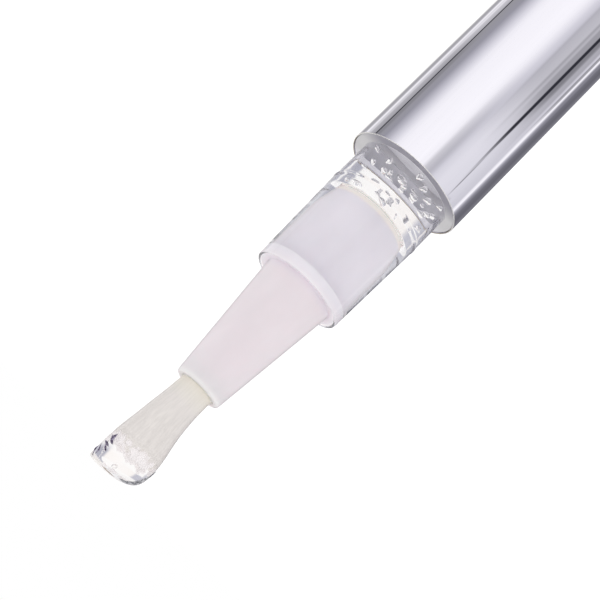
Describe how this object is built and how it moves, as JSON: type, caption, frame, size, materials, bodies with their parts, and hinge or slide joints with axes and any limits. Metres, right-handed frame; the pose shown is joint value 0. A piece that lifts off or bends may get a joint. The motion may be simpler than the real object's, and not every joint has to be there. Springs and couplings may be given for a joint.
{
  "type": "teeth whitening pen",
  "caption": "Slim twist-feed dosing pen: straight mirror aluminium barrel and turning knob, clear neck with a snap bead, frosted tapered brush holder and a gel-wetted bristle tuft.",
  "frame": {"origin": "centre of the flat rear face, which the pen stands on", "axes": "+Z along the pen's axis, towards the brush; +X towards the side on which the gel bead reaches furthest forward"},
  "size_m": [0.011, 0.011, 0.1267],
  "materials": {
    "barrel_sleeve": "mirror bright, clear anodised",
    "reservoir_body": "clear, polished",
    "brush_holder": "frosted, translucent",
    "tuft_collar": "natural",
    "feed_tube": "natural",
    "brush_tuft": "fine fibres wet with gel",
    "gel": "clear gel with air bubbles",
    "feed_nut": "natural",
    "ratchet_ring": "dark grey",
    "knob_sleeve": "mirror bright, clear anodised",
    "knob_core": "dark grey",
    "end_plug": "satin silver grey",
    "drive_sleeve": "natural",
    "click_ring": "natural",
    "retaining_ring": "spring steel",
    "feed_screw": "natural",
    "piston": "natural"
  },
  "bodies": {
    "barrel": {"barrel_sleeve": "barrel_sleeve", "reservoir_body": "reservoir_body", "brush_holder": "brush_holder", "tuft_collar": "tuft_collar", "feed_tube": "feed_tube", "brush_tuft": "brush_tuft", "gel_tip": "gel", "gel_neck": "gel", "gel_charge": "gel", "feed_nut": "feed_nut", "ratchet_ring": "ratchet_ring"},
    "knob": {"knob_core": "knob_core", "knob_sleeve": "knob_sleeve", "end_plug": "end_plug", "drive_sleeve": "drive_sleeve", "click_ring": "click_ring", "retaining_ring": "retaining_ring"},
    "screw": {"feed_screw": "feed_screw"},
    "piston": {"piston": "piston"}
  },
  "joints": [
    {"name": "piston_feed", "type": "slide", "parent": "barrel", "child": "piston", "axis": [0, 0, 1], "range_m": [0, 0.034], "deforming": ["gel_charge"]},
    {"name": "knob_turn", "type": "hinge", "parent": "barrel", "child": "knob", "pos_m": [0, 0, 0.0144], "axis": [0, 0, 1], "range_deg": [0, 4896.01]},
    {"name": "screw_feed", "type": "slide", "parent": "knob", "child": "screw", "axis": [0, 0, 1], "range_m": [0, 0.034]}
  ],
  "couplings": [
    {"joint": "knob_turn", "follows": "piston_feed", "rad_per_m": 2513.3},
    {"joint": "screw_feed", "follows": "piston_feed", "ratio": 1}
  ]
}
